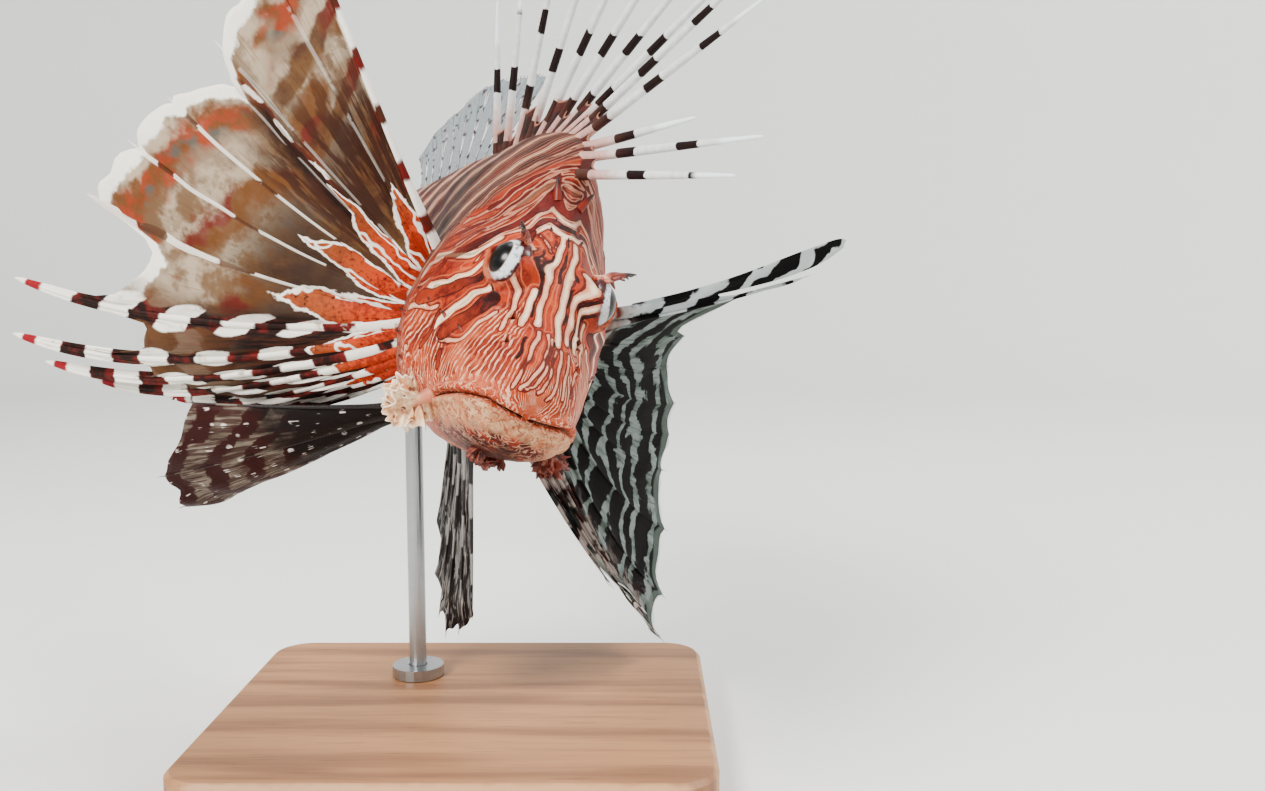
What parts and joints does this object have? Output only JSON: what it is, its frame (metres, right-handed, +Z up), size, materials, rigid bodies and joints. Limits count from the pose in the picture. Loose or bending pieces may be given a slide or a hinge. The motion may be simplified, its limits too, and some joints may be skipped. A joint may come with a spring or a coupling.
{
  "type": "red lionfish display model",
  "caption": "Life-size red lionfish with spread fins and raised back spines, banked in a swimming pose on a rod and flat base.",
  "frame": {"origin": "middle of the underside of the stand's base", "axes": "+Z up; the fish heads towards -Y, a little towards +X, with its nose down and its left side lower"},
  "size_m": [0.2681, 0.2755, 0.2639],
  "materials": {
    "skin": "wet scaled skin with dark red bars and cream bands",
    "jaw_skin": "wet skin, pale in front and dark red below",
    "eye": "clear, black pupil in a silver-white iris",
    "fin": "thin banded membrane over pale rays with dark red bars",
    "dark_fin": "dark membrane with pale bars and spots",
    "spine": "hard pale spines with black-brown bands",
    "flap": "soft skin flap",
    "base": "satin varnished wood",
    "rod": "brushed"
  },
  "bodies": {
    "root": {"head": "skin", "lower_jaw": "jaw_skin", "torso": "skin", "tail_root": "skin", "pectoral_fin_right": "fin", "pectoral_fin_left": "fin", "pelvic_fin_right": "dark_fin", "pelvic_fin_left": "dark_fin", "spiny_dorsal_fin": "spine", "soft_dorsal_fin": "fin", "anal_fin": "fin", "caudal_fin": "fin", "eye_right": "eye", "eye_left": "eye", "brow_tentacle_right": "flap", "brow_tentacle_left": "flap", "cheek_tentacle_right": "flap", "cheek_tentacle_left": "flap", "stand_base": "base", "stand_rod": "rod", "stand_collar": "rod"}
  },
  "joints": []
}
